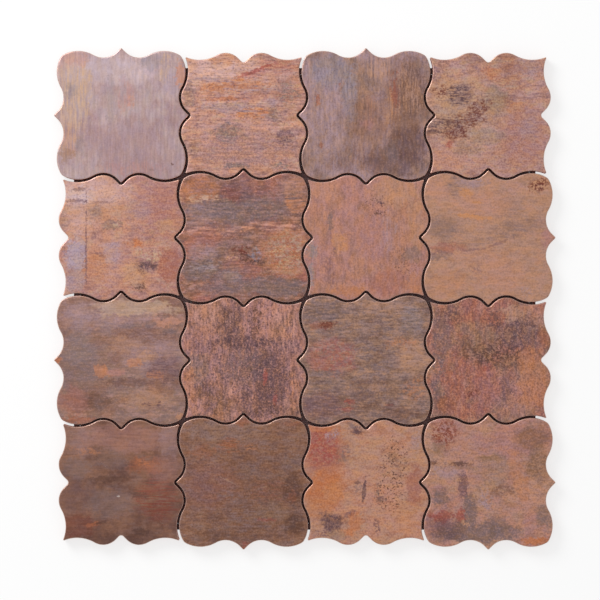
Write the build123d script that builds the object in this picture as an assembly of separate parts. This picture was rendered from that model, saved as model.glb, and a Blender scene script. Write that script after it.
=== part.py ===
"""Sheet of arabesque mosaic: copper tiles of two interlocking shapes on a woven backing.

Millimetres, +Z up. The sheet lies face up, and the origin is under its centre, on the floor.
Pointed tiles and notched tiles alternate like the squares of a chessboard.
"""

import os
from math import cos, radians, sin, tan

from build123d import *

# Sheet
PITCH = 75.0                # spacing of the tiles, both ways
ROWS = 4
COLUMNS = 4
JOINT = 1.3                 # clear width of the joint between neighbouring tiles
TILE_THICKNESS = 7.5

# Edge of the pointed tile, measured from the middle of a side and from the pitch line
FLANK_ANGLE = 45.0          # slope of the point's two flanks
VALLEY_OFFSET = 11.0        # middle of the side to the bottom of the valley
VALLEY_DEPTH = 2.1
VALLEY_RADIUS = 12.0
LOBE_ANGLE = 29.7           # slope of the edge where the valley turns into the lobe
CORNER_SETBACK = 0.95       # pitch line to the corner where two lobes meet, before it is rounded
CORNER_RADIUS = 4.0

# Edge of the notched tile, which follows the pointed tile's edge across the joint
HORN_SETBACK = 1.5          # pitch line to the tip of the horn at each corner

# Closely woven backing that the tiles are bonded to
BACKING_INSET = 8.0         # outermost pitch line to the edge of the backing
BACKING_THICKNESS = 0.5

HALF_PITCH = PITCH / 2
FLANK_SLOPE = radians(FLANK_ANGLE)
LOBE_SLOPE = radians(LOBE_ANGLE)
ON_LINE = 0.001             # how near to a line a vertex counts as on it
INTO_TILE, OUT_OF_TILE = -1, 1


def tile_face(arc_centre, arc_radius, bulge, corner_setback):
    """Face of a tile whose four sides are alike, each mirrored about its middle.

    Half a side runs from the apex on the middle line along a straight flank, round the arc given,
    and on in an arc that bends back, to the corner on the diagonal. bulge is the way that the given
    arc curves: INTO_TILE beside a point, OUT_OF_TILE beside a notch.
    """
    flank_end = arc_centre + Vector(-sin(FLANK_SLOPE), bulge * cos(FLANK_SLOPE)) * arc_radius
    apex = Vector(0, flank_end.Y - bulge * flank_end.X * tan(FLANK_SLOPE))
    arc_end = arc_centre + Vector(sin(LOBE_SLOPE), bulge * cos(LOBE_SLOPE)) * arc_radius
    corner = Vector(HALF_PITCH - corner_setback, HALF_PITCH - corner_setback)

    flank = Line(apex, flank_end)
    arc = TangentArc(flank_end, arc_end, tangent=flank % 1)
    arc_back = TangentArc(arc_end, corner, tangent=arc % 1)
    half_side = [flank, arc, arc_back]
    side = half_side + [mirror(edge, Plane.YZ) for edge in half_side]
    return make_face([Rot(Z=90 * turn) * edge for turn in range(4) for edge in side])


def pointed_face():
    """Tile with a point in the middle of each side, a valley beside it and a round lobe at each corner."""
    valley_centre = Vector(VALLEY_OFFSET, HALF_PITCH - VALLEY_DEPTH + VALLEY_RADIUS)
    face = tile_face(valley_centre, VALLEY_RADIUS, INTO_TILE, CORNER_SETBACK)
    corners = [v for v in face.vertices() if abs(abs(v.X) - abs(v.Y)) < ON_LINE]
    return fillet(corners, CORNER_RADIUS)


def notched_face():
    """Tile with a notch where a point fits, a knuckle that fits a valley and a horn at each corner."""
    knuckle_centre = Vector(VALLEY_OFFSET, HALF_PITCH + VALLEY_DEPTH - VALLEY_RADIUS)
    knuckle_radius = VALLEY_RADIUS - JOINT
    return tile_face(knuckle_centre, knuckle_radius, OUT_OF_TILE, HORN_SETBACK)


def tile(face):
    """One tile standing on the backing."""
    return Pos(Z=BACKING_THICKNESS) * extrude(face, TILE_THICKNESS)


def backing():
    """The sheet under the tiles, which stops short of the outermost edges so that sheets can meet."""
    length = COLUMNS * PITCH - 2 * BACKING_INSET
    width = ROWS * PITCH - 2 * BACKING_INSET
    return Box(length, width, BACKING_THICKNESS, align=(Align.CENTER, Align.CENTER, Align.MIN))


def tiles():
    """The tiles by name, row 1 at the back and column 1 on the left."""
    pointed, notched = tile(pointed_face()), tile(notched_face())
    placed = {}
    for row in range(ROWS):
        for column in range(COLUMNS):
            place = Pos(X=(column - (COLUMNS - 1) / 2) * PITCH, Y=((ROWS - 1) / 2 - row) * PITCH)
            shape, kind = (pointed, "pointed") if (row + column) % 2 == 0 else (notched, "notched")
            placed[f"{kind}_tile_row{row + 1}_column{column + 1}"] = place * shape
    return placed


os.makedirs("parts", exist_ok=True)
for name, solid in ({"woven_backing": backing()} | tiles()).items():
    export_step(solid, f"parts/{name}.step")
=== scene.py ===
"""Looks of the arabesque mosaic sheet: aged copper tiles on a dark woven backing, on a pale floor.

Metres, unless millimetres are named. The tiles keep their solids' outlines and get rounded edges.
Each has a patina of its own: a ground with clouds and flakes, marks laid over it, and
flecks and streaks along its grain over everything.
"""

from dataclasses import dataclass
from math import atan2, cos, pi, radians, sin, tan
from types import SimpleNamespace

import bmesh
import bpy
from mathutils import Matrix, Vector


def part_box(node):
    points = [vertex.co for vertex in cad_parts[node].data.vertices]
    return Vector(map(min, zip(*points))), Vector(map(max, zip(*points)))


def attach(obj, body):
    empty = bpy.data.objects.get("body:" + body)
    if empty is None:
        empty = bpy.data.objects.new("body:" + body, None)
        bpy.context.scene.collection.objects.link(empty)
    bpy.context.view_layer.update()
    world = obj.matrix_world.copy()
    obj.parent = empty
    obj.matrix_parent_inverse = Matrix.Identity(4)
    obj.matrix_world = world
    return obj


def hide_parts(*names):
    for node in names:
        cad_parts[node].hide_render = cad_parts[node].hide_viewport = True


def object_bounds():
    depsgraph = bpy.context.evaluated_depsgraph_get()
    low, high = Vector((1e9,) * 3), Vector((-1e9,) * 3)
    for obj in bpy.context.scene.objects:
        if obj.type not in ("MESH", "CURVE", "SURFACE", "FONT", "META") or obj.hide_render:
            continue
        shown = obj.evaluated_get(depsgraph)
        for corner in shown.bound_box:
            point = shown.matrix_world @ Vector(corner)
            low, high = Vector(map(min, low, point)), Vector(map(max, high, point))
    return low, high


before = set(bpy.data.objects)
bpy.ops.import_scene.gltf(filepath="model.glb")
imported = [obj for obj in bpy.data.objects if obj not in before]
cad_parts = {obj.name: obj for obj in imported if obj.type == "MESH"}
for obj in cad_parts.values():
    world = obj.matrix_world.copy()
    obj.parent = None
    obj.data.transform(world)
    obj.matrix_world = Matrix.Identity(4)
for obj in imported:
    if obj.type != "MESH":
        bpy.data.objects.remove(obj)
cad_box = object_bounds()

MM = 0.001
BODY = "root"

# Edges of the tiles
ARRIS_RADIUS = 0.6 * MM     # round the face
TIP_RADIUS = 0.8 * MM       # points and horns
NOTCH_RADIUS = 1.9 * MM
ARRIS_STEPS = 4
ARC_STEPS = 6
ARC_ROOM = 0.9              # share of the shorter side that an arc may take up
TIP_ROOM = 0.8              # share of the half width beside a tip that the arris may take up
SHARP_TURN = radians(30)    # the outline has a tip or a notch where it turns by more than this
BACK_RINGS = (0, 0.5, 1)    # shares of the way from the middle of the back to its edge
FACE_RINGS = (0.985, 0.75, 0.5, 0.25, 0)    # shares of the same way on the face, from its edge in
WELD = 0.001 * MM
PLACE_DIGITS = 7            # decimals of a metre that tell two corners of an outline apart

# Weave of the backing
YARN_PITCH = 4.0 * MM
YARN_COVER = 0.97           # width of a yarn as a share of the pitch
CLOTH_LIFT = 0.02 * MM      # lowest yarn above the floor
FRAY = 6.0 * MM             # length over which the yarns taper towards their ends
DARK_YARN = (100, 76, 74)
PALE_YARN = (162, 136, 136)
FIBRE_LEVELS = (0.3, 0.7)
CLOTH_ROUGHNESS = 0.85
CLOTH_BUMP = 0.5
CLOTH_RELIEF = 0.05 * MM

# Floor and light
FLOOR_SIZE = 6.0
FLOOR_PAINT = (0.9, 0.9, 0.9, 1)
FLOOR_GLOW = 0.72           # share of plain white in the floor as it is seen
WHITE = (1, 1, 1, 1)
SKY_RISE = (0.1, 0.8)       # how steep a direction is where the sky starts and stops getting brighter
SKY_STRENGTH = (0.25, 0.78)
KEY_PLACE = Vector((-0.85, 0.85, 0.9))
KEY_SIZE = 0.8
KEY_POWER = 16              # watts

# Camera, straight above the sheet
VIEW_WIDTH = 0.3676         # breadth of the frame at the tiles' faces
VIEW_CENTRE = (-0.0029, -0.0007)
CAMERA_HEIGHT = 2.0         # above the tiles' faces
SENSOR = 36.0               # millimetres

# Inputs and output of the node that mixes colours
MIX_SHARE, MIX_FIRST, MIX_SECOND = 0, 6, 7
MIX_RESULT = 2


@dataclass
class Noise:
    """A pattern: features a unit of length, octaves, their roughness, and where it has a grain, the
    features a unit beside the grain. shift sets a pattern apart from another one like it."""
    features: float
    detail: float
    roughness: float
    beside: float = None
    shift: tuple = (0, 0, 0)


# Patterns over a tile, with features a millimetre
PATTERNS = {
    "streak": Noise(0.06, 5, 0.65, beside=0.7),
    "dash": Noise(0.22, 4, 0.65, beside=0.8),
    "flake": Noise(0.10, 8, 0.72, beside=0.19),
    "warmth": Noise(0.12, 8, 0.72, beside=0.22, shift=(37, 11, 0)),
    "speck": Noise(0.55, 4, 0.7),
    "grit": Noise(0.9, 3, 0.7),
    "dot": Noise(0.95, 2, 0.5),
    "mottle": Noise(0.2, 5, 0.66),
    "cloud": Noise(0.045, 4, 0.6),
}
FIBRE = Noise(2500, 4, 0.6)     # of the yarns, with features a metre

# Levels of a pattern between which a layer of the patina sets in
CLOUD_LEVELS = (0.40, 0.62)
LIGHT_FLAKE_LEVELS = (0.52, 0.57)
DARK_FLAKE_LEVELS = (0.48, 0.43)
LIGHT_FLECK_LEVELS = (0.51, 0.60)
DARK_FLECK_LEVELS = (0.47, 0.39)
STREAK_SHADE_LEVELS = (0.34, 0.66)
FLECK_SHADE_LEVELS = (0.36, 0.64)
WARMTH_LEVELS = (0.42, 0.58)

# Strength of each layer
LIGHT_FLAKES = 0.45
DARK_FLAKES = 0.4
LEAST_BROKEN = 0.2          # how far flakes break up a ground that has no flecks
LIGHT_FLECKS = 0.35
DARK_FLECKS = 0.45
PLAIN_DASHES = 0.2          # share of dashes in the flecks of a tile without streaks
STREAK_DASHES = 0.4         # what full streaks add to that share
STREAK_SHADE = 0.16         # what full streaks add to the brightness or take off it
FLECK_SHADE = 0.18
WARM_RED = 0.05             # what a warm flake adds to the red and a cool one takes off it
WARM_BLUE = 0.12            # what a cool flake adds to the blue and a warm one takes off it

# Outlines of the marks, in millimetres
FINE_STRAY = Noise(0.7, 3, 0.65)
FINE_STRAY_WIDTH = 2.2
BROAD_STRAY = Noise(0.13, 2, 0.55)
BROAD_STRAY_WIDTH = 9
SLIM = 3                    # a mark with a smaller half width or height only strays finely
RAGGED_EDGE = 2.6           # half width or height up to which a mark's edge is fully ragged
RAGGED_LEVELS = (0.25, 0.75)
MOTTLED_EDGE = 0.6          # shares of the mark's half width by which its edge is ragged
SPECKED_EDGE = 0.5
MIDDLE_LEVEL = (0.5, 0.5, 0.5)     # of a noise that has three channels
ANY_HEIGHT = 1000           # stretch that makes a mark the same at any height of the tile
WASH_EDGE = 0.6             # softness of the edge, as a share of the half width

# Worn arris with a painted highlight and plain wall with painted shade, told by how far the surface faces
# up
ARRIS_FACING = (0.985, 0.80)
WALL_FACING = (0.6, 0.15)
WEAR_AND_HIGHLIGHT_LEVELS = (0.3, 0.6)
WEAR_AND_HIGHLIGHT = (0.45, 0.9)          # least and most share of bare copper and painted highlight on the arris
# share of the wall copper, with its painted shade, on the wall and steep arris
WALL_COVER = 0.95

# Sheen and relief of the copper
METALLIC = 0.75
BRIGHTNESS = (0.08, 0.40)   # of dark and light patina
ROUGHNESS = (0.60, 0.42)    # of dark and light patina
SHEEN_LEVELS = (0.3, 0.7)
STREAK_SHEEN = 0.05         # what streaks add to the roughness or take off it
STREAK_RELIEF = 0.6
SPECK_RELIEF = 0.35
BUMP = 0.25
RELIEF = 0.08 * MM

# Tones of the patina, as they are seen
TONES = {
    "pale_lilac": (204, 180, 182),
    "pale_mauve": (184, 158, 158),
    "mauve": (168, 138, 140),
    "lilac": (176, 152, 160),
    "rose": (178, 128, 120),
    "blush": (210, 167, 155),
    "pink": (192, 145, 135),
    "pink_red": (170, 108, 104),
    "salmon": (194, 140, 120),
    "tan": (184, 140, 118),
    "clay": (177, 127, 109),
    "sand": (194, 160, 136),
    "ochre": (194, 144, 112),
    "amber": (200, 140, 98),
    "orange": (188, 126, 92),
    "bright_orange": (190, 116, 76),
    "rust": (160, 98, 72),
    "brick": (166, 106, 92),
    "red": (165, 88, 78),
    "red_brown": (138, 76, 62),
    "dark_red": (116, 62, 52),
    "brown": (142, 102, 84),
    "umber": (112, 78, 68),
    "dark_umber": (92, 64, 56),
    "plum": (124, 90, 92),
    "dark_plum": (104, 76, 78),
    "slate": (130, 106, 103),
    "pale_slate": (148, 130, 130),
    "blue_grey": (150, 136, 144),
    "grey_brown": (146, 116, 106),
    "olive": (148, 114, 94),
    "moss": (152, 124, 108),
    "chalk": (190, 172, 166),
}
# Bare copper of the worn arris, made paler as a painted highlight along every edge
BARE_COPPER_AND_HIGHLIGHT = (230, 200, 186)
# Plain copper of the tile's side, laid darker and redder than the face as painted shade in the joints
WALL_COPPER_AND_SHADE = (188, 100, 70)

# Grain of a tile
ACROSS, DOWN = "across", "down"


@dataclass(frozen=True)
class Fill:
    """Way that a mark fills its shape: a pattern, the levels where it sets in, and the least cover."""
    pattern: str
    start: float
    end: float
    least: float = 0.0


EVEN = Fill("mottle", 0.34, 0.60, least=0.7)
STREAKY = Fill("streak", 0.40, 0.58)
SPECKS = Fill("speck", 0.45, 0.55)
DOTS = Fill("dot", 0.57, 0.65)
DASHES = Fill("dash", 0.45, 0.55)
FILLS = (EVEN, STREAKY, SPECKS, DOTS, DASHES)


@dataclass
class Mark:
    """A soft ellipse of one tone, in millimetres from the middle of its tile, with u right and v up.
    turn is in degrees."""
    tone: str
    u: float
    v: float
    half_width: float
    half_height: float
    strength: float
    fill: Fill = EVEN
    turn: float = 0.0
    edge: float = 0.3


def wash(tone, u, v, half_width, half_height, strength):
    """An even mark with a very soft edge."""
    return Mark(tone, u, v, half_width, half_height, strength, edge=WASH_EDGE)


@dataclass
class Patina:
    """Finish of one tile: two tones that mingle in clouds, a light and a dark one that fleck them, the
    grain, how strong the streaks and flecks are, and the marks in the order they are laid."""
    ground: str
    cloud: str
    light: str
    dark: str
    grain: str
    streaks: float
    flecks: float
    marks: list

    @property
    def broken(self):
        """How far flakes break up the ground."""
        return min(1.0, LEAST_BROKEN + self.flecks)


# By row, from the back, and column, from the left
PATINAS = {
    (1, 1): Patina("pale_mauve", "mauve", "chalk", "plum", DOWN, streaks=0.6, flecks=0.25, marks=[
        wash("pale_lilac", -4, 28, 27, 10, 0.9),
        wash("mauve", 25, -24, 11, 10, 0.6),
        Mark("sand", -30, 12, 9, 24, 0.9, STREAKY, edge=0.5),
        Mark("sand", -22, 18, 3, 15, 0.94, STREAKY),
        Mark("ochre", -32.7, -16, 6, 9, 0.6, STREAKY, edge=0.5),
        Mark("olive", -34, -24, 4, 5, 0.62),
        Mark("pale_slate", -31.6, 16, 3.5, 4, 0.62),
        Mark("pale_slate", -25, -19, 4, 6, 0.56),
        Mark("pink", -29.5, 34, 9, 5, 0.62),
        Mark("blue_grey", -9, 28, 11, 9, 0.3, STREAKY),
        Mark("blue_grey", 17, 33, 7, 5, 0.69),
        Mark("pale_slate", -6.5, 9, 2.5, 16, 0.62, STREAKY),
        Mark("sand", 27, 29, 3, 9, 0.88, STREAKY),
        Mark("lilac", 30, 19, 4, 9, 0.75),
        Mark("salmon", 36.6, 25, 3.2, 7, 1.0, edge=0.2),
        Mark("rose", 3, 12, 5, 10, 0.5, STREAKY),
        Mark("salmon", 6, 6.5, 2, 4, 0.62, STREAKY),
        Mark("mauve", 0, -18, 19, 14, 0.81),
        Mark("rose", 4, -33, 22, 4, 0.44, STREAKY),
        Mark("umber", 31, -30, 0.9, 0.9, 0.88),
        Mark("slate", 19, -33.5, 1.3, 1.0, 0.62),
    ]),
    (1, 2): Patina("pink", "salmon", "sand", "plum", ACROSS, streaks=0.8, flecks=1.15, marks=[
        Mark("pink", 10, 26, 24, 7, 0.8),
        Mark("rose", 12, 12.5, 21, 4, 0.8),
        wash("blush", -14, 27, 25, 9, 0.9),
        wash("salmon", 2, -24, 24, 9, 0.9),
        wash("salmon", 8, -8, 10, 6, 0.7),
        wash("clay", 26, 9, 8, 8, 0.5),
        Mark("bright_orange", -8, 17, 18, 1.8, 0.8),
        Mark("bright_orange", -12, 10, 11, 1.4, 0.7),
        Mark("pink_red", 8, 26, 17, 2.4, 0.6, turn=18),
        Mark("orange", -6, 19, 19, 4, 1.0, STREAKY),
        Mark("orange", -11, 34, 9, 3, 0.62),
        Mark("brick", 24, 32, 12, 6, 0.75, STREAKY),
        Mark("red", 8, 27.5, 10, 1.2, 0.94, turn=22),
        Mark("mauve", -20, 22, 11, 2.2, 0.6),
        Mark("mauve", 8, 16, 15, 1.6, 0.88, STREAKY),
        Mark("mauve", -10, 4.8, 20, 2.6, 0.7),
        Mark("mauve", 17, 7, 4, 5, 0.75),
        Mark("orange", 8, 1.4, 13, 2.8, 1.0, STREAKY),
        Mark("bright_orange", 13, 1.2, 7, 1.8, 0.62, STREAKY),
        Mark("slate", 19, 0, 4, 4, 0.75),
        Mark("slate", 27, 14, 7, 7, 0.88, DASHES),
        Mark("pink", -4, -18, 31, 13, 0.81),
        Mark("plum", 2, -21, 28, 11, 0.6, DASHES),
        Mark("slate", -9.6, -10.3, 11, 5, 1.0, DASHES),
        Mark("slate", -9.6, -10.3, 8, 4, 0.5),
        Mark("salmon", 9, -7, 8, 4, 0.6, STREAKY),
        Mark("plum", 25, -13, 6, 5, 1.0, DASHES),
        Mark("plum", 25, -13, 5, 4, 0.5),
        Mark("slate", -4.4, -31, 7, 1.4, 1.0),
        Mark("slate", 22, -31, 8, 1.8, 1.0, DASHES),
        Mark("grey_brown", -33.7, 12, 4, 8, 0.75),
        Mark("brown", -30.6, -20, 3, 6, 0.62),
    ]),
    (1, 3): Patina("grey_brown", "mauve", "tan", "umber", DOWN, streaks=0.8, flecks=0.6, marks=[
        wash("mauve", 19, 28, 15, 8, 0.6),
        Mark("mauve", -24, -4, 14, 30, 0.5),
        Mark("blue_grey", -22, 27, 14, 10, 0.7),
        Mark("blue_grey", -9.6, 12, 4.5, 17, 0.7),
        Mark("tan", 5, 29, 10, 7, 0.5, STREAKY),
        Mark("brown", 24, 10, 13, 26, 0.6),
        Mark("tan", 23, 8, 11, 20, 0.75, STREAKY),
        Mark("dark_umber", 27, 16, 11, 20, 0.6, DASHES),
        Mark("red_brown", 17.6, 12, 2.6, 13, 0.75, STREAKY),
        Mark("ochre", 14.5, 2, 2.4, 9, 0.7, STREAKY),
        Mark("orange", 3, 3, 5, 9, 0.4, STREAKY),
        Mark("dark_plum", 26, -18, 13, 11, 0.7),
        Mark("dark_plum", 16, -29, 17, 8, 0.6),
        Mark("dark_umber", 24, -8, 8, 10, 0.6, STREAKY),
        Mark("slate", 16, -22, 4.5, 6, 0.75),
        Mark("umber", -6, -27, 18, 8, 0.5, STREAKY),
        wash("brown", 3, -4, 14, 16, 0.65),
        Mark("rust", -29.5, 9.6, 1.3, 3.2, 0.85),
        Mark("rust", -27.4, -18, 1.0, 2, 0.65),
        Mark("rust", -16, 19, 0.9, 1.3, 0.6),
        Mark("rose", 1, -5, 4.5, 3.4, 0.55),
    ]),
    (1, 4): Patina("pink", "clay", "sand", "plum", ACROSS, streaks=0.2, flecks=0.8, marks=[
        wash("clay", 17, -25, 19, 9, 0.7),
        Mark("ochre", -24, 16, 10, 10, 0.55),
        Mark("salmon", -25, -26, 13, 8, 0.95),
        Mark("rose", 22, -12, 14, 18, 0.9),
        Mark("mauve", 25, -8, 6, 9, 0.45),
        Mark("mauve", 23, 30, 8, 6, 0.6),
        Mark("brown", -7, 34, 11, 4, 0.5),
        Mark("moss", 4, 10.5, 6.5, 10, 0.8),
        Mark("moss", -1, -13, 11, 5, 0.65),
        Mark("olive", -14, -21, 8, 4, 0.6),
        Mark("bright_orange", 2, 25, 5, 3.4, 0.6),
        Mark("rust", 17, 29, 6, 4, 0.4),
        Mark("orange", 17.6, 5, 6.5, 4, 0.75),
        Mark("tan", 17.6, 5, 3.4, 1.8, 0.6),
        Mark("amber", 1, -1, 2.4, 3, 0.5),
        Mark("plum", -30.6, 28, 8, 6, 0.5, SPECKS),
        Mark("plum", -17, 0, 14, 12, 0.3, SPECKS),
        wash("sand", -17, 2, 21, 19, 0.5),
        Mark("dark_red", -29.5, 13.8, 4.5, 4, 0.9, SPECKS, turn=45),
        Mark("plum", -17.5, 13, 4.5, 6, 0.3),
        Mark("dark_plum", -17.5, 13, 7, 8, 1.0, DASHES, turn=60),
        Mark("plum", -11, 11, 4, 4, 0.5, SPECKS),
        Mark("plum", -5, 4, 6, 3, 0.35, turn=38),
        Mark("dark_red", -5.5, 4, 10, 4, 0.9, SPECKS, turn=38),
        Mark("plum", -15, -4, 12, 2.6, 0.35, turn=8),
        Mark("dark_red", -15, -4, 15, 4.4, 0.95, DASHES, turn=8),
        Mark("dark_plum", -29, -5, 11, 4, 0.9, DASHES),
        Mark("dark_red", -20, -11.5, 6, 2.4, 0.5),
        Mark("dark_red", -20, -11.5, 9, 4, 1.0, SPECKS, turn=6),
        Mark("dark_plum", -34, -10.3, 7, 0.8, 0.8),
        Mark("red", -24, -18, 2, 2.2, 0.8),
    ]),
    (2, 1): Patina("salmon", "rose", "sand", "plum", ACROSS, streaks=0.2, flecks=0.7, marks=[
        wash("blush", -17, 28, 22, 9, 0.95),
        wash("pink", -8, -16, 10, 14, 0.6),
        Mark("ochre", -13, 16, 17, 6, 0.5),
        Mark("orange", -16, -18, 9, 10, 0.65),
        Mark("pink", -20, 30, 9, 5, 0.3),
        Mark("lilac", -27.5, -10, 6.2, 11, 1.0, edge=0.2),
        Mark("mauve", -28.5, -25, 6, 8, 0.91),
        wash("blush", -26, 9, 9, 9, 0.6),
        Mark("grey_brown", -35.5, 10.7, 3.4, 6, 0.5),
        wash("pale_lilac", -26, 26, 9, 5, 0.7),
        Mark("plum", -26, 30, 3.6, 1.1, 0.8),
        Mark("plum", -27, 22.7, 6, 1.1, 0.75),
        Mark("plum", -13, 21.7, 6, 0.7, 0.55),
        Mark("plum", -21.4, -3, 0.55, 28, 0.85),
        Mark("grey_brown", -16, 16, 4, 3, 0.78),
        Mark("slate", -5.4, 7.5, 6, 2.8, 0.8, turn=8),
        Mark("sand", -2.8, 8, 1.8, 1.0, 1.0),
        Mark("plum", -17, 1.2, 1.6, 2.2, 0.5),
        Mark("plum", -13.3, -10.3, 3.6, 1.2, 0.6, turn=-20),
        Mark("lilac", -5.4, -9, 5, 7, 0.55),
        Mark("rose", 22, 21, 14, 13, 0.95),
        wash("brick", 27, 16, 9, 15, 0.45),
        Mark("mauve", 10, 17, 9, 6, 0.4),
        Mark("ochre", 28, 7.5, 7, 4, 0.75),
        Mark("plum", 18.6, 0.5, 4.5, 4.4, 0.5, SPECKS),
        Mark("bright_orange", 9, -4, 3.8, 3, 0.85),
        Mark("brick", 29, -17, 7.5, 12, 1.0),
        Mark("ochre", 8, -22, 8, 7, 0.85),
        Mark("sand", 17, -11, 8, 4, 0.91, SPECKS),
        Mark("plum", 15.5, -17.6, 6.5, 3.4, 0.55, turn=-14),
        Mark("dark_plum", 15.5, -17.6, 7, 4, 1.0, SPECKS, turn=-14),
        Mark("umber", 10, -30, 5, 3, 0.98, SPECKS),
    ]),
    (2, 2): Patina("brown", "brick", "pink", "dark_plum", ACROSS, streaks=0.8, flecks=0.85, marks=[
        wash("slate", -14, -2, 20, 14, 0.5),
        wash("slate", -9, -26, 14, 9, 0.8),
        wash("slate", 26, 27, 10, 8, 0.6),
        Mark("slate", -4, 18, 34, 9, 1.0),
        wash("mauve", -27, 14, 9, 9, 0.35),
        Mark("plum", -4, 29, 13, 8, 0.72),
        Mark("orange", -28, 29, 12, 8, 0.75),
        Mark("sand", -26.5, 24, 10, 2.2, 0.77, DASHES),
        Mark("plum", -27, 31, 9, 5, 0.55, DASHES),
        Mark("orange", 32, 20, 6, 6, 0.83, STREAKY),
        Mark("salmon", 31, 32, 7, 5, 0.55),
        Mark("red_brown", -8, 26, 6, 5, 0.55),
        Mark("salmon", -20, 3.6, 15, 2, 0.94, STREAKY),
        Mark("brick", -24, -1, 11, 5, 0.61),
        Mark("mauve", -25, -9, 9, 6, 0.55),
        Mark("salmon", 22, 6.5, 19, 3, 0.99, STREAKY),
        Mark("orange", 27, -9, 15, 13, 0.88),
        Mark("sand", 27, -9, 14, 12, 0.85, SPECKS),
        Mark("red_brown", 26, -9, 14, 12, 0.5, DASHES),
        Mark("dark_red", 0, -7.5, 6, 2.8, 1.0, SPECKS, turn=6),
        Mark("dark_umber", 5, -14, 9, 4.5, 0.88, SPECKS),
        Mark("ochre", -6.5, -12.4, 5, 2, 0.83, SPECKS),
        Mark("blue_grey", 7.5, -10.5, 4, 4, 0.83, SPECKS),
        Mark("slate", -28, -19, 12, 7, 1.0),
        Mark("pale_slate", -24, -18.6, 10, 3, 0.77, DASHES),
        Mark("pale_slate", -6, -24, 7, 3.4, 0.55),
        Mark("ochre", 26, -20.7, 11, 1.4, 0.5),
        Mark("rust", 19, -24, 11, 2, 0.66, STREAKY),
        Mark("slate", 21, -30, 21, 5.5, 1.0),
        Mark("slate", -10, -32, 17, 5, 0.6),
    ]),
    (2, 3): Patina("clay", "rose", "salmon", "brown", DOWN, streaks=0.4, flecks=0.7, marks=[
        Mark("rose", 4, 1, 10, 15, 0.9),
        Mark("mauve", 13.4, 3.4, 5, 11, 0.5, STREAKY),
        Mark("ochre", 18, 28, 15, 9, 0.59),
        Mark("ochre", 31, 9, 5, 18, 0.52),
        Mark("salmon", -26, 29, 9, 7, 0.65),
        Mark("umber", 6, 19, 10, 9, 0.85, DOTS),
        Mark("dark_plum", 9.2, 21, 1.8, 1.4, 1.0),
        Mark("dark_umber", 8, 15, 3, 1.6, 1.0, SPECKS),
        Mark("slate", -22, 10.7, 1.6, 5.5, 0.85),
        Mark("plum", -19, -7, 1.4, 3.4, 0.72),
        Mark("pale_slate", -32.7, -7, 3, 5, 0.91),
        Mark("pale_slate", -34, -23, 2, 9, 0.91),
        Mark("amber", -16, -4, 4.5, 6, 0.72),
        Mark("plum", -22, -22, 4, 8, 0.65, STREAKY),
        Mark("grey_brown", 29, -11, 6, 5, 0.78),
        Mark("umber", 24, -18, 9, 12, 0.75, DOTS),
        Mark("orange", -9.6, -33, 11, 4, 0.78),
        Mark("brick", 14, -27, 12, 7, 0.59),
        Mark("orange", 31, -29, 6, 7, 0.65),
    ]),
    (2, 4): Patina("tan", "tan", "salmon", "brown", ACROSS, streaks=0.3, flecks=0.55, marks=[
        wash("salmon", -2, 21, 18, 8, 0.6),
        wash("salmon", -3, -12, 20, 5, 0.4),
        wash("salmon", 8, -24, 14, 9, 0.6),
        Mark("slate", -21, 31, 6, 6, 0.86, STREAKY),
        Mark("mauve", -10, 33.5, 9, 2.4, 0.8),
        Mark("amber", -13.8, 27.4, 3.8, 2, 0.98),
        Mark("amber", -6.5, 21.5, 3.2, 0.7, 1.0),
        Mark("amber", -10.7, 13, 10, 1.2, 1.0, turn=-5),
        Mark("slate", -28, 6, 10, 6, 0.6, STREAKY, edge=0.5),
        Mark("grey_brown", -28, 7, 10, 7, 0.7, edge=0.5),
        Mark("grey_brown", -20, 3.4, 4, 3, 0.6, STREAKY, edge=0.5),
        Mark("slate", 20, 7, 16, 5, 0.55, STREAKY, turn=8, edge=0.5),
        Mark("slate", -2, -2, 24, 2.4, 0.5, STREAKY, turn=10, edge=0.5),
        Mark("grey_brown", 13, 7.5, 5, 3, 0.6, STREAKY, edge=0.5),
        Mark("grey_brown", 14.5, 18, 8, 6, 0.6, STREAKY, edge=0.5),
        Mark("ochre", 30.5, 32.5, 7, 4.5, 0.8),
        Mark("dark_red", 30.5, 32.5, 7, 4.5, 1.0, SPECKS),
        Mark("plum", -9.6, -7.4, 8, 0.7, 0.6, turn=5),
        Mark("plum", 5, -4, 7.5, 0.7, 0.5, turn=20),
        Mark("plum", -7.5, -19, 3.8, 2.8, 0.5, SPECKS),
        Mark("brick", -26, -6, 9, 3.4, 0.75),
        Mark("slate", -31, -10.5, 6, 3, 0.63),
        Mark("salmon", -31, 29, 7, 7, 0.57),
        Mark("pink", 16, 31, 7, 3.4, 0.57),
        Mark("rose", 37, 0, 5, 5, 0.86),
        Mark("orange", -25, -28, 12, 8, 0.34),
        Mark("mauve", 24, -33, 4, 3.6, 0.75, SPECKS),
    ]),
    (3, 1): Patina("grey_brown", "brown", "pink", "plum", ACROSS, streaks=0.6, flecks=0.5, marks=[
        wash("mauve", 2, 26, 20, 8, 0.6),
        wash("mauve", 20, 4, 18, 14, 0.6),
        Mark("sand", 10, 32, 25, 4.5, 0.8),
        Mark("slate", -27, -2, 13, 22, 0.75, edge=0.5),
        wash("mauve", -25, 27, 12, 8, 0.7),
        wash("pale_slate", -26, 8, 9, 9, 0.4),
        Mark("salmon", 27, 23, 10, 3, 0.8),
        Mark("slate", 17.6, 22, 4.4, 2.2, 0.9),
        Mark("slate", 6, 21, 6, 1.7, 0.8),
        Mark("slate", 30, 17.5, 6, 1.8, 0.8),
        Mark("umber", 16, 14, 18, 5, 0.6, DASHES),
        Mark("tan", 1, 9.6, 9, 5, 0.55),
        Mark("orange", -11.2, -7, 4.6, 3.2, 0.9),
        Mark("rose", -3.4, -7.6, 5, 2, 0.85),
        Mark("orange", 8, -1.5, 4.4, 2.6, 0.75),
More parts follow.
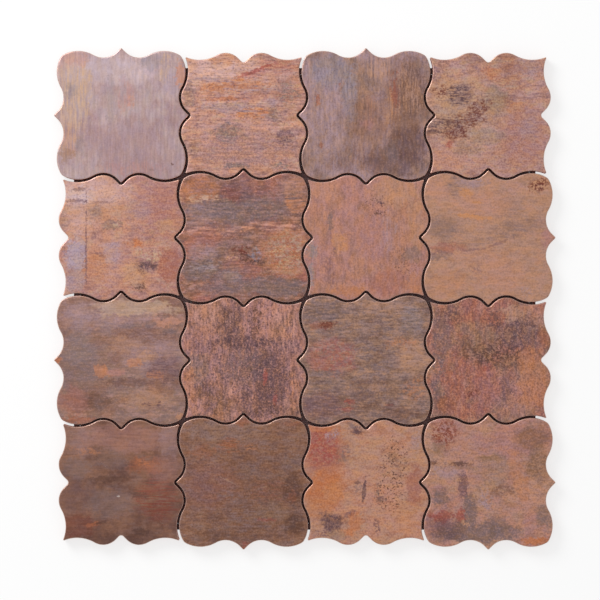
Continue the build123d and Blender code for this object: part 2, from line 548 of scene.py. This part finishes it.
        Mark("ochre", 15, 2, 7, 3, 0.5),
        Mark("orange", 21, -9.5, 5, 2.4, 0.85),
        Mark("dark_plum", 28, -7, 12, 8, 0.75, DASHES),
        Mark("plum", 28, -5, 11, 8, 0.35),
        Mark("umber", 4, -13.5, 13, 2.6, 0.7),
        Mark("dark_umber", -15, -25, 8, 5, 0.6),
        Mark("brick", -30, -25, 9, 8, 0.55),
        Mark("ochre", 16, -24, 14, 6, 0.5),
        Mark("dark_plum", 18.6, -27, 7, 1.6, 0.85, DASHES),
        Mark("rust", -24, -37, 9, 2.2, 0.75),
        Mark("amber", 36, -35, 2.6, 2.4, 0.6),
        Mark("bright_orange", -39, -0.5, 2, 2, 0.75),
    ]),
    (3, 2): Patina("rose", "brown", "salmon", "dark_plum", DOWN, streaks=0.7, flecks=1.4, marks=[
        wash("plum", -27, 0, 9, 16, 0.5),
        wash("plum", 27, 8, 8, 10, 0.45),
        wash("plum", 8, -27, 11, 7, 0.45),
        Mark("salmon", -22, 27, 10, 8, 0.6),
        Mark("salmon", 25, 22, 9, 12, 0.7, STREAKY),
        Mark("grey_brown", -28, -5, 7, 9, 0.7),
        Mark("slate", 1, -4, 15, 11, 0.6),
        Mark("dark_plum", -9, 23, 8, 9, 0.3),
        Mark("dark_plum", -9, 23, 8, 9, 0.75, SPECKS),
        Mark("dark_umber", 6.5, 23, 3, 10, 0.95, DASHES),
        Mark("dark_plum", 1, 10.5, 17, 4, 0.6),
        Mark("dark_plum", 1, 10.5, 19, 5, 0.95, SPECKS),
        Mark("plum", 2, -3, 17, 12, 0.7, DASHES),
        Mark("dark_plum", 17, -13, 10, 18, 0.55),
        Mark("dark_plum", 17, -13, 11, 19, 0.95, DASHES),
        Mark("dark_plum", 1, -24, 3.4, 10, 0.85, DASHES),
        Mark("plum", -20, -21, 5, 10, 0.75, DASHES),
        Mark("dark_umber", 14, -32, 12, 3.6, 0.8, DASHES),
        Mark("dark_plum", 4, -2, 32, 30, 0.8, DOTS),
        Mark("red", 13.4, -10.3, 1.4, 4, 0.85),
        Mark("red", 19.7, -22.8, 1.5, 3.2, 0.7),
        Mark("orange", -33, -17, 4, 11, 0.7),
        Mark("orange", 31, -18, 3, 9, 0.6, STREAKY),
        Mark("orange", -12, 17, 3, 3, 0.5, SPECKS),
        Mark("orange", -18, -35, 6, 3, 0.5),
        Mark("plum", -29, 11, 4, 5, 0.65, DASHES),
    ]),
    (3, 3): Patina("grey_brown", "grey_brown", "tan", "umber", ACROSS, streaks=0.8, flecks=0.9, marks=[
        wash("umber", -9, -27, 13, 7, 0.4),
        Mark("slate", -26, 29, 13, 7, 0.8),
        Mark("tan", 10, 33, 14, 4, 0.5),
        Mark("brick", -29, 21, 5.5, 2.2, 0.6),
        Mark("dark_red", -23.8, 21.5, 4, 1.8, 1.0, turn=12),
        Mark("rose", -21, 3, 13, 11, 0.4),
        Mark("red", -20, 2.5, 15, 12, 0.5, SPECKS),
        Mark("brick", -30, -1, 6, 3.6, 0.6),
        Mark("slate", 1, 6.5, 10, 2.2, 0.8, DASHES),
        Mark("slate", -24, -8.2, 9, 1.8, 0.9),
        Mark("slate", 9, -4, 10, 2.6, 0.9, DASHES),
        Mark("slate", 13.4, 19, 13, 1.4, 0.75),
        Mark("tan", 28, 2, 10, 10, 0.75),
        Mark("orange", 22, 10.7, 10, 4.4, 0.6, SPECKS),
        Mark("orange", 30, -18, 8, 8, 0.6, SPECKS),
        Mark("pale_slate", 28, 25, 7, 7, 0.55),
        Mark("red", -11.7, -25.4, 3.6, 1.4, 0.8),
        Mark("red", -12.6, -30, 3.6, 1.2, 0.65),
        Mark("red", 14.5, -27.5, 2.2, 0.9, 0.6),
        Mark("plum", -28, -28, 13, 9, 0.7),
        Mark("umber", 4, -18, 18, 6, 0.35, DASHES),
        Mark("umber", 21, -32, 11, 4.4, 0.6),
    ]),
    (3, 4): Patina("brick", "olive", "salmon", "plum", DOWN, streaks=0.3, flecks=1.1, marks=[
        wash("rose", 15, -20, 16, 14, 0.7),
        wash("salmon", 27, 27, 9, 8, 0.7),
        wash("umber", -27, -27, 8, 8, 0.4),
        Mark("olive", -7, 14, 10, 10, 0.6),
        Mark("slate", -29, 17, 6, 12, 0.75),
        Mark("dark_plum", -24, 27, 9, 6, 0.75, SPECKS),
        Mark("slate", 19, 17, 13, 10, 0.65),
        Mark("dark_plum", 19, 15, 15, 13, 0.8, SPECKS),
        Mark("dark_plum", 3, 25, 6, 7, 0.85, SPECKS),
        Mark("tan", 14.5, 28, 6.5, 4.6, 0.8),
        Mark("umber", -4, 6, 17, 8, 0.75, SPECKS),
        Mark("dark_umber", 6, 1, 18, 8, 0.65, SPECKS),
        Mark("dark_umber", 2, -16, 16, 14, 0.7, DOTS),
        Mark("pink_red", -1, -17, 9, 13, 0.65),
        Mark("red", -2, -5, 3.4, 2.6, 0.7, SPECKS),
        Mark("dark_red", -9.6, -19.7, 4, 4, 0.85, SPECKS),
        Mark("orange", 28, -14, 9, 16, 0.7),
        Mark("orange", 24, 1, 5, 6, 0.6),
        Mark("slate", -31.6, -17.6, 3.6, 6.5, 0.85),
        Mark("slate", -29.5, -3, 4.4, 6, 0.75, SPECKS),
        Mark("plum", 10.3, -18.6, 3.2, 7, 0.8),
        Mark("rust", -25, -27, 7, 5, 0.55),
        Mark("rust", 33, 14, 3.5, 8, 0.5),
    ]),
    (4, 1): Patina("brown", "umber", "grey_brown", "dark_umber", ACROSS, streaks=0.6, flecks=0.35, marks=[
        wash("mauve", -25, 26, 11, 8, 0.3),
        wash("rose", 26, 8, 9, 8, 0.4),
        Mark("rose", 4, 27, 28, 8, 0.4),
        Mark("mauve", 30, 25, 7, 10, 0.4),
        Mark("orange", -21, 19.6, 9.5, 2.6, 0.6, SPECKS, turn=-5),
        Mark("slate", -28, 8, 8, 7, 0.6),
        Mark("slate", -6.5, 13, 11, 5, 0.45),
        Mark("rust", 14.5, 10.7, 9, 5, 0.55),
        Mark("bright_orange", 14.5, 12, 6, 3, 0.55, SPECKS),
        wash("dark_plum", -27, -8, 10, 10, 0.6),
        Mark("dark_umber", -7, 2.3, 12, 2, 0.6),
        Mark("slate", -6, -12, 16, 9, 0.6),
        Mark("red_brown", 22, -9, 13, 11, 0.75, STREAKY),
        Mark("dark_red", 24, -16, 11, 9, 0.55, STREAKY),
        Mark("dark_umber", 10, -8, 4, 2.2, 0.5),
        Mark("chalk", -1.8, -8.5, 0.9, 0.5, 1.0),
        Mark("dark_red", -27, -27, 10, 8, 0.65),
        Mark("rust", -16.5, -25.4, 5, 1.2, 0.9, turn=12),
        Mark("dark_umber", -12, -24.5, 4, 0.8, 0.8, turn=12),
        Mark("dark_umber", 11.3, -30, 4.4, 2, 0.85),
        Mark("dark_umber", 0, -36, 30, 4, 0.5),
    ]),
    (4, 2): Patina("brown", "brown", "grey_brown", "umber", ACROSS, streaks=0.5, flecks=1.0, marks=[
        Mark("grey_brown", -12, 32, 24, 6, 0.6),
        Mark("umber", 8, -8, 34, 30, 0.35),
        Mark("rust", 0, 38, 4, 3, 0.65),
        Mark("rust", 28, 36, 6, 1.6, 0.5),
        Mark("rust", -8.6, 22, 8, 3.4, 0.65, STREAKY),
        Mark("orange", 4, 21.7, 4.4, 2, 0.6, DASHES),
        Mark("rust", -26, 18, 8, 3, 0.4),
        Mark("slate", 31, 12, 7, 4.5, 0.55),
        Mark("slate", 4, 8, 6, 4, 0.4),
        wash("brick", -20, -2, 16, 13, 0.3),
        wash("plum", -27, -3, 11, 14, 0.4),
        Mark("red_brown", 18, -6, 14, 7, 0.3, DASHES),
        Mark("slate", 4, -22, 16, 8, 0.35, DASHES),
        Mark("slate", -8, -9, 8, 3, 0.5, DASHES),
        Mark("sand", -10, 1.3, 5, 0.35, 0.3, turn=-25),
        Mark("sand", 12, -3, 5, 0.3, 0.25, turn=14),
        Mark("dark_umber", 30, -5, 5.5, 9, 0.75),
        Mark("rust", 30, -9, 2, 3, 0.5),
        Mark("dark_umber", 31, -26, 6, 7, 0.7),
        Mark("olive", 17.6, -18.6, 9, 6, 0.5),
        Mark("red", 15, -22.8, 5, 1.1, 0.55),
        Mark("dark_umber", -12, -33, 20, 4, 0.35),
        Mark("red", 1, -38.5, 3, 2.2, 0.5),
    ]),
    (4, 3): Patina("tan", "salmon", "ochre", "rust", ACROSS, streaks=0.15, flecks=0.7, marks=[
        wash("rust", -27, -8, 10, 10, 0.4),
        Mark("brick", -26, 19, 13, 15, 0.95, edge=0.5),
        Mark("red", -27, 22, 11, 12, 0.95, SPECKS),
        Mark("bright_orange", -27, 33, 9, 2.6, 0.77),
        Mark("lilac", -20, 29, 4.4, 3, 0.88, SPECKS),
        Mark("bright_orange", -25, -4, 13, 12, 1.0),
        Mark("amber", -20, -6, 7, 6, 0.44),
        Mark("orange", -29, -15, 8, 7, 0.66),
        Mark("slate", -14.3, 17, 5.5, 5.5, 0.72, SPECKS),
        Mark("dark_plum", -21, -24.4, 6.5, 4.4, 0.83, turn=-14),
        Mark("dark_plum", -21, -24.4, 8, 5.6, 1.0, SPECKS, turn=-14),
        Mark("plum", -25, -31, 8, 3.6, 0.83, SPECKS),
        Mark("moss", -18, -33, 6, 3, 0.66),
        Mark("dark_plum", -5.4, 31.6, 2.6, 2.6, 1.0),
        Mark("slate", -8.6, 34.6, 2.2, 2, 0.77),
        Mark("dark_plum", -6, 0, 2.6, 1.0, 0.7),
        Mark("slate", -5, -2, 3, 6, 0.5, SPECKS),
        Mark("dark_plum", -1.2, -6, 1.0, 7.5, 1.0, turn=-6),
        Mark("slate", 8, -6, 3.4, 5, 0.83, SPECKS),
        Mark("dark_plum", 9.2, -10, 2.6, 1.6, 0.6),
        Mark("dark_umber", 18, 12, 8, 17, 0.94, DOTS),
        Mark("dark_umber", 15, -6, 9, 13, 0.94, DOTS),
        Mark("umber", 18, 14, 3, 7, 0.55, SPECKS),
        Mark("brick", 30, -1, 5, 12, 0.77),
        Mark("mauve", 31, 24, 3, 7, 0.61),
        Mark("plum", -8.6, -18.6, 4.4, 1.3, 0.94, turn=35),
        Mark("bright_orange", -7, -25, 4, 8, 0.77, turn=-20),
        Mark("plum", 6.5, -27, 2.6, 4.4, 0.94, SPECKS),
        Mark("amber", 24, -21, 7, 9, 0.44),
    ]),
    (4, 4): Patina("tan", "rose", "salmon", "brown", ACROSS, streaks=0.15, flecks=0.75, marks=[
        wash("salmon", 25, -8, 9, 9, 0.6),
        Mark("brown", 27, 27, 11, 8, 0.85),
        Mark("brown", 30, 11, 6.5, 11, 1.0, SPECKS),
        Mark("olive", 30, 11, 6.5, 10, 0.6),
        Mark("rose", -14, 21, 14, 8, 0.6),
        Mark("olive", -31, 20, 5, 4, 0.78),
        Mark("red_brown", -27, 30, 8.5, 9, 1.0, SPECKS),
        Mark("umber", -17.5, 11.2, 5.5, 1.5, 1.0),
        Mark("umber", -33.5, 11.8, 2.6, 1.1, 0.9),
        Mark("mauve", -24, 6, 9, 4, 0.6),
        Mark("moss", 3, 8, 11, 10.5, 0.45, edge=0.2),
        Mark("olive", 1, 15, 7, 1.8, 0.9),
        Mark("orange", 18, 3, 4.5, 16, 0.6, turn=15),
        Mark("brown", 8, -5, 6.5, 3.4, 0.96),
        Mark("tan", 8.5, -5, 3, 1.3, 0.72),
        Mark("mauve", -1.3, -11, 4.5, 10, 0.84, SPECKS),
        Mark("plum", -15.4, -3, 2.8, 8.5, 1.0),
        Mark("slate", -29.5, -9.2, 5.5, 4.2, 1.0),
        Mark("slate", -12, -16, 4.5, 9, 1.0),
        Mark("red", -29, -20.7, 7, 3, 1.0),
        Mark("red", -17, -20.7, 2.8, 4.4, 0.96),
        Mark("slate", -8, -31, 26, 6, 1.0, edge=0.25),
        Mark("slate", 6, -26, 8, 5, 0.84),
        Mark("dark_plum", -27, -28, 10, 8, 0.7, edge=0.5),
        Mark("grey_brown", 33.5, -22, 5.5, 8, 1.0),
        Mark("bright_orange", 31, -36.2, 8, 2.4, 0.96),
    ]),
}


def linear(tone):
    """Colour for a shader from a tone as it is seen, 0 to 255, by the usual curve of screens."""
    shares = [value / 255 for value in tone]
    return [s / 12.92 if s <= 0.04045 else ((s + 0.055) / 1.055) ** 2.4 for s in shares] + [1.0]


class Graph:
    """Short calls for the nodes of one shader. A value is a number, a tuple or another node's output."""

    def __init__(self, owner):
        owner.use_nodes = True
        self.tree = owner.node_tree
        self.tree.nodes.clear()

    def node(self, kind, inputs, **settings):
        made = self.tree.nodes.new(kind)
        for name, value in settings.items():
            setattr(made, name, value)
        for key, value in inputs.items():
            if isinstance(value, bpy.types.NodeSocket):
                self.tree.links.new(value, made.inputs[key])
            else:
                made.inputs[key].default_value = value
        return made

    def math(self, operation, a, b=0.0):
        return self.node("ShaderNodeMath", {0: a, 1: b}, operation=operation).outputs[0]

    def vector(self, operation, a, b):
        return self.node("ShaderNodeVectorMath", {0: a, 1: b}, operation=operation).outputs["Vector"]

    def length(self, a):
        return self.node("ShaderNodeVectorMath", {0: a}, operation="LENGTH").outputs["Value"]

    def noise(self, place, noise, scale=None):
        """The pattern at a place. scale is 1 where the place is already stretched to its features."""
        return self.node("ShaderNodeTexNoise", {
            "Vector": place, "Scale": scale or noise.features,
            "Detail": noise.detail, "Roughness": noise.roughness}).outputs

    def ramp(self, value, start, end, low=0.0, high=1.0):
        return self.node("ShaderNodeMapRange", {
            "Value": value, "From Min": start, "From Max": end, "To Min": low, "To Max": high,
        }, interpolation_type="SMOOTHSTEP").outputs[0]

    def mix(self, share, a, b, blend="MIX"):
        inputs = {MIX_SHARE: share, MIX_FIRST: a, MIX_SECOND: b}
        return self.node("ShaderNodeMix", inputs, data_type="RGBA", blend_type=blend).outputs[MIX_RESULT]

    def tone(self, share, colour, name):
        """A share of a named tone over a colour."""
        return self.mix(share, colour, linear(TONES[name]))

    def surface(self, shader):
        self.node("ShaderNodeOutputMaterial", {"Surface": shader})


# Finish of the tiles

def patterns(graph, sheet_mm, grain):
    """The patterns over a tile, by name, drawn out along its grain where they have one."""
    made = {}
    for name, noise in PATTERNS.items():
        place, scale = sheet_mm, noise.features
        if noise.beside:
            along_and_beside = (noise.features, noise.beside)
            stretch = along_and_beside if grain == ACROSS else along_and_beside[::-1]
            place, scale = graph.vector("MULTIPLY", sheet_mm, (*stretch, 0)), 1.0
        made[name] = graph.noise(graph.vector("ADD", place, noise.shift), noise, scale)[0]
    return SimpleNamespace(**made)


def broken_ground(graph, pattern, patina):
    """The two ground tones in clouds, with crisp flakes of the light and the dark tone."""
    ground = linear(TONES[patina.ground])
    colour = graph.tone(graph.ramp(pattern.cloud, *CLOUD_LEVELS), ground, patina.cloud)
    light = graph.ramp(pattern.flake, *LIGHT_FLAKE_LEVELS, 0.0, LIGHT_FLAKES * patina.broken)
    dark = graph.ramp(pattern.flake, *DARK_FLAKE_LEVELS, 0.0, DARK_FLAKES * patina.broken)
    return graph.tone(dark, graph.tone(light, colour, patina.light), patina.dark)


def strayed(graph, place, sheet_mm, noise, width):
    """The place moved about by a noise, within a square of the width given."""
    swing = graph.vector("SUBTRACT", graph.noise(sheet_mm, noise)["Color"], MIDDLE_LEVEL)
    return graph.vector("ADD", place, graph.vector("MULTIPLY", swing, (width, width, 0)))


def marked(graph, pattern, colour, marks, sheet_mm, tile_mm):
    """The colour with the marks laid over it, their outlines strayed and ragged."""
    fine_place = strayed(graph, tile_mm, sheet_mm, FINE_STRAY, FINE_STRAY_WIDTH)
    broad_place = strayed(graph, fine_place, sheet_mm, BROAD_STRAY, BROAD_STRAY_WIDTH)
    mottled = graph.ramp(pattern.mottle, *RAGGED_LEVELS, -MOTTLED_EDGE, MOTTLED_EDGE)
    specked = graph.ramp(pattern.speck, *RAGGED_LEVELS, -SPECKED_EDGE, SPECKED_EDGE)
    ragged = graph.math("ADD", mottled, specked)
    covers = {fill: graph.ramp(getattr(pattern, fill.pattern), fill.start, fill.end, fill.least)
              for fill in FILLS}
    for mark in marks:
        narrow_half = min(mark.half_width, mark.half_height)
        own_place = graph.node("ShaderNodeMapping", {
            "Vector": fine_place if narrow_half < SLIM else broad_place,
            "Location": (mark.u, mark.v, 0),
            "Rotation": (0, 0, radians(mark.turn)),
            "Scale": (mark.half_width, mark.half_height, ANY_HEIGHT),
        }, vector_type="TEXTURE").outputs[0]
        wander = min(1.0, RAGGED_EDGE / narrow_half)
        distance = graph.math("ADD", graph.length(own_place), graph.math("MULTIPLY", ragged, wander))
        inside = graph.ramp(distance, 1 + mark.edge, 1 - mark.edge, 0.0, mark.strength)
        colour = graph.tone(graph.math("MULTIPLY", inside, covers[mark.fill]), colour, mark.tone)
    return colour


def flecked(graph, pattern, colour, patina):
    """The colour under flecks and streaks, with flakes of warmer and cooler hue."""
    dashes = PLAIN_DASHES + STREAK_DASHES * patina.streaks
    dashed = graph.math("MULTIPLY", pattern.dash, dashes)
    fleck = graph.math("ADD", dashed, graph.math("MULTIPLY", pattern.grit, 1 - dashes))
    light = graph.ramp(fleck, *LIGHT_FLECK_LEVELS, 0.0, LIGHT_FLECKS * patina.flecks)
    dark = graph.ramp(fleck, *DARK_FLECK_LEVELS, 0.0, DARK_FLECKS * patina.flecks)
    colour = graph.tone(dark, graph.tone(light, colour, patina.light), patina.dark)

    by_streak, by_fleck = STREAK_SHADE * patina.streaks, FLECK_SHADE * patina.flecks
    streak_shade = graph.ramp(pattern.streak, *STREAK_SHADE_LEVELS, 1 - by_streak, 1 + by_streak)
    fleck_shade = graph.ramp(fleck, *FLECK_SHADE_LEVELS, -by_fleck, by_fleck)
    shade = graph.math("ADD", streak_shade, fleck_shade)

    red, blue = WARM_RED * patina.broken, WARM_BLUE * patina.broken
    redness = graph.ramp(pattern.warmth, *WARMTH_LEVELS, 1 - red, 1 + red)
    blueness = graph.ramp(pattern.warmth, *WARMTH_LEVELS, 1 + blue, 1 - blue)
    tint = graph.node("ShaderNodeCombineXYZ", {
        "X": graph.math("MULTIPLY", shade, redness),
        "Y": shade,
        "Z": graph.math("MULTIPLY", shade, blueness),
    }).outputs[0]
    return graph.mix(1.0, colour, tint, "MULTIPLY")


def worn_highlight_and_shade(graph, pattern, colour):
    """The colour with bare copper and a painted highlight along the arris, and plain copper with painted
    shade down the wall.
    """
    normal = graph.node("ShaderNodeNewGeometry", {}).outputs["Normal"]
    facing = graph.node("ShaderNodeSeparateXYZ", {0: normal}).outputs["Z"]
    patches = graph.ramp(pattern.mottle, *WEAR_AND_HIGHLIGHT_LEVELS, *WEAR_AND_HIGHLIGHT)
    # Patchy bare copper on the arris, paler as a painted highlight
    wear_and_highlight = graph.math("MULTIPLY", graph.ramp(facing, *ARRIS_FACING), patches)
    colour = graph.mix(wear_and_highlight, colour, linear(BARE_COPPER_AND_HIGHLIGHT))
    # Plain copper with painted shade down the wall and the steep part of the arris
    return graph.mix(graph.ramp(facing, *WALL_FACING, 0.0, WALL_COVER), colour, linear(WALL_COPPER_AND_SHADE))


def patina_material(name, patina, middle):
    """Aged copper with the tile's own patina. middle is the tile's centre in the frame."""
    material = bpy.data.materials.new(name)
    graph = Graph(material)
    place = graph.node("ShaderNodeTexCoord", {}).outputs["Object"]
    sheet_mm = graph.vector("MULTIPLY", place, (1 / MM, 1 / MM, 1 / MM))
    tile_mm = graph.vector("SUBTRACT", sheet_mm, (middle.x / MM, middle.y / MM, 0))
    pattern = patterns(graph, sheet_mm, patina.grain)

    colour = broken_ground(graph, pattern, patina)
    colour = marked(graph, pattern, colour, patina.marks, sheet_mm, tile_mm)
    colour = worn_highlight_and_shade(graph, pattern, flecked(graph, pattern, colour, patina))

    brightness = graph.node("ShaderNodeRGBToBW", {0: colour}).outputs[0]
    sheen = graph.ramp(pattern.streak, *SHEEN_LEVELS, -STREAK_SHEEN, STREAK_SHEEN)
    roughness = graph.math("ADD", graph.ramp(brightness, *BRIGHTNESS, *ROUGHNESS), sheen)
    scratches = graph.math("MULTIPLY", pattern.streak, STREAK_RELIEF * patina.streaks)
    height = graph.math("ADD", scratches, graph.math("MULTIPLY", pattern.speck, SPECK_RELIEF))
    bump = graph.node("ShaderNodeBump", {"Strength": BUMP, "Distance": RELIEF, "Height": height})
    shader = graph.node("ShaderNodeBsdfPrincipled", {
        "Base Color": colour, "Metallic": METALLIC, "Roughness": roughness, "Normal": bump.outputs[0]})
    graph.surface(shader.outputs[0])
    return material


# Tiles

def tile_name(row, column):
    """Node of the tile in a row and column."""
    kind = "pointed" if (row + column) % 2 == 0 else "notched"
    return f"{kind}_tile_row{row}_column{column}"


def outline(node, middle):
    """Corners of the tile's face in order, from its middle. Seen from there no part hides another."""
    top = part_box(node)[1].z
    spots = {(round(v.co.x - middle.x, PLACE_DIGITS), round(v.co.y - middle.y, PLACE_DIGITS))
             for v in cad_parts[node].data.vertices if v.co.z > top - WELD}
    return [Vector(spot) for spot in sorted(spots, key=lambda spot: atan2(spot[1], spot[0]))]


def neighbours(points):
    """Each point with the one before it and the one after it, round the loop."""
    return zip(points[-1:] + points[:-1], points, points[1:] + points[:1])


def rounded(points):
    """The outline with each sharp tip and notch turned into an arc, and how far each point may move in."""
    smooth, tips = [], []
    for before, corner, after in neighbours(points):
        inward, onward = corner - before, after - corner
        turn = inward.angle_signed(onward)
        if abs(turn) < SHARP_TURN:
            smooth.append(corner)
            continue
        radius, side = (TIP_RADIUS, 1) if turn < 0 else (NOTCH_RADIUS, -1)
        if turn < 0:
            tips.append((corner, tan((pi - abs(turn)) / 2)))
        room = ARC_ROOM * min(inward.length, onward.length)
        radius = min(radius, room / tan(abs(turn) / 2))
        ahead = inward.normalized()
        start = corner - ahead * radius * tan(abs(turn) / 2)
        centre = start + Vector((-ahead.y, ahead.x)) * side * radius
        for step in range(ARC_STEPS + 1):
            swing = Matrix.Rotation(side * abs(turn) * step / ARC_STEPS, 2)
            smooth.append(centre + swing @ (start - centre))
    rooms = [min([ARRIS_RADIUS] + [TIP_ROOM * slope * (point - tip).length for tip, slope in tips])
             for point in smooth]
    return smooth, rooms


def inset(points, rooms, share):
    """The outline moved into the tile by a share of each point's room."""
    moved = []
    for (before, corner, after), room in zip(neighbours(points), rooms):
        inward, onward = (corner - before).normalized(), (after - corner).normalized()
        across = Vector((-inward.y - onward.y, inward.x + onward.x))
        moved.append(corner + across * (share * room * 2 / across.length_squared))
    return moved


def tile_mesh(node, middle):
    """Rings from the tile's back up its wall, round the arris and in to the middle of the face."""
    low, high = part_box(node)
    edge, rooms = rounded(outline(node, middle))
    rings = [([point * share for point in edge], low.z) for share in BACK_RINGS]
    for step in range(ARRIS_STEPS + 1):
        angle = pi / 2 * step / ARRIS_STEPS
        rings.append((inset(edge, rooms, 1 - cos(angle)), high.z - ARRIS_RADIUS * (1 - sin(angle))))
    face = inset(edge, rooms, 1)
    rings += [([point * share for point in face], high.z) for share in FACE_RINGS]

    mesh = bmesh.new()
    loops = [[mesh.verts.new((point.x + middle.x, point.y + middle.y, z)) for point in points]
             for points, z in rings]
    for loop, next_loop in zip(loops, loops[1:]):
        for i in range(len(loop)):
            j = (i + 1) % len(loop)
            mesh.faces.new((loop[i], loop[j], next_loop[j], next_loop[i])).smooth = True
    bmesh.ops.remove_doubles(mesh, verts=mesh.verts, dist=WELD)
    data = bpy.data.meshes.new(f"{node}_finished")
    mesh.to_mesh(data)
    mesh.free()
    return data


def finished_tile(row, column):
    """The tile with rounded edges and its own patina, in place of its solid."""
    node = tile_name(row, column)
    low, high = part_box(node)
    middle = (low + high) / 2
    data = tile_mesh(node, middle)
    material = patina_material(f"patina_row{row}_column{column}", PATINAS[row, column], middle)
    data.materials.append(material)
    piece = bpy.data.objects.new(f"{node}_finished", data)
    bpy.context.scene.collection.objects.link(piece)
    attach(piece, BODY)
    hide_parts(node)


# Backing

def cloth_material():
    """Dark yarn with paler fibres."""
    material = bpy.data.materials.new("woven_cloth")
    graph = Graph(material)
    place = graph.node("ShaderNodeTexCoord", {}).outputs["Object"]
    fibre = graph.noise(place, FIBRE)[0]
    colour = graph.mix(graph.ramp(fibre, *FIBRE_LEVELS), linear(DARK_YARN), linear(PALE_YARN))
    bump = graph.node("ShaderNodeBump", {
        "Strength": CLOTH_BUMP, "Distance": CLOTH_RELIEF, "Height": fibre})
    shader = graph.node("ShaderNodeBsdfPrincipled", {
        "Base Color": colour, "Roughness": CLOTH_ROUGHNESS, "Normal": bump.outputs[0]})
    graph.surface(shader.outputs[0])
    return material


def yarn(mesh, low, high, count, number, lengthways):
    """A flat yarn across the cloth, over one of the yarns that cross it and under the next."""
    centre_z = (low.z + high.z) / 2
    sway = (high.z - low.z) / 2 - CLOTH_LIFT
    beside = low.x + (number + 0.5) * YARN_PITCH
    phase = number if lengthways else number + 1
    rim = []
    for half_step in range(2 * count + 1):
        along = low.x + half_step * YARN_PITCH / 2
        z = centre_z + sway * sin(pi * (half_step / 2 + phase))
        from_end = min(half_step, 2 * count - half_step) * YARN_PITCH / 2
        taper = min(1, (from_end + YARN_PITCH / 4) / FRAY)
        half_width = YARN_COVER * YARN_PITCH / 2 * taper
        edges = [beside - half_width, beside + half_width]
        spots = [(along, edge, z) if lengthways else (edge, along, z) for edge in edges]
        rim.append([mesh.verts.new(spot) for spot in spots])
    for here, there in zip(rim, rim[1:]):
        mesh.faces.new((here[0], there[0], there[1], here[1]))


def cloth_mesh(low, high):
    """Plain weave of yarns both ways."""
    mesh = bmesh.new()
    count = round((high.x - low.x) / YARN_PITCH)
    for lengthways in (True, False):
        for number in range(count):
            yarn(mesh, low, high, count, number, lengthways)
    bmesh.ops.recalc_face_normals(mesh, faces=mesh.faces)
    for face in mesh.faces:
        face.smooth = True
    data = bpy.data.meshes.new("woven_cloth")
    mesh.to_mesh(data)
    mesh.free()
    return data


def woven_cloth():
    """The backing as a woven sheet, in place of its solid."""
    low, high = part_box("woven_backing")
    data = cloth_mesh(low, high)
    data.materials.append(cloth_material())
    piece = bpy.data.objects.new("woven_cloth", data)
    bpy.context.scene.collection.objects.link(piece)
    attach(piece, BODY)
    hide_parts("woven_backing")


# Floor, light and camera

def floor():
    """A pale floor that takes the sheet's shadow. It glows for the camera and for reflections only."""
    material = bpy.data.materials.new("floor")
    graph = Graph(material)
    rays = graph.node("ShaderNodeLightPath", {}).outputs
    reflected = graph.math("MAXIMUM", rays["Is Glossy Ray"], rays["Is Transmission Ray"])
    seen = graph.math("MAXIMUM", rays["Is Camera Ray"], reflected)
    paint = graph.node("ShaderNodeBsdfDiffuse", {"Color": FLOOR_PAINT}).outputs[0]
    glow = graph.node("ShaderNodeEmission", {"Color": WHITE, "Strength": 1.0}).outputs[0]
    share = graph.math("MULTIPLY", seen, FLOOR_GLOW)
    graph.surface(graph.node("ShaderNodeMixShader", {0: share, 1: paint, 2: glow}).outputs[0])
    bpy.ops.mesh.primitive_plane_add(size=FLOOR_SIZE)
    plane = bpy.context.object
    plane.name = "floor"
    plane.data.materials.append(material)


def sky():
    """White light from all round, stronger from above."""
    world = bpy.data.worlds.new("studio")
    bpy.context.scene.world = world
    graph = Graph(world)
    direction = graph.node("ShaderNodeTexCoord", {}).outputs["Generated"]
    rise = graph.node("ShaderNodeSeparateXYZ", {0: direction}).outputs["Z"]
    background = graph.node("ShaderNodeBackground", {
        "Color": WHITE, "Strength": graph.ramp(rise, *SKY_RISE, *SKY_STRENGTH)})
    graph.node("ShaderNodeOutputWorld", {"Surface": background.outputs[0]})


def key_lamp():
    """A soft lamp at the back on the left, aimed at the middle of the sheet."""
    data = bpy.data.lights.new("key", "AREA")
    data.shape = "DISK"
    data.size = KEY_SIZE
    data.energy = KEY_POWER
    lamp = bpy.data.objects.new("key", data)
    lamp.location = KEY_PLACE
    lamp.rotation_euler = (-KEY_PLACE).to_track_quat("-Z", "Y").to_euler()
    bpy.context.scene.collection.objects.link(lamp)


def camera():
    """A camera that looks straight down, with the back of the sheet at the top of the frame."""
    data = bpy.data.cameras.new("camera")
    data.sensor_width = SENSOR
    data.lens = SENSOR * CAMERA_HEIGHT / VIEW_WIDTH
    viewer = bpy.data.objects.new("camera", data)
    viewer.location = (*VIEW_CENTRE, cad_box[1].z + CAMERA_HEIGHT)
    bpy.context.scene.collection.objects.link(viewer)
    bpy.context.scene.camera = viewer


for row, column in PATINAS:
    finished_tile(row, column)
woven_cloth()
floor()
sky()
key_lamp()
camera()
bpy.context.scene.view_settings.view_transform = "Standard"
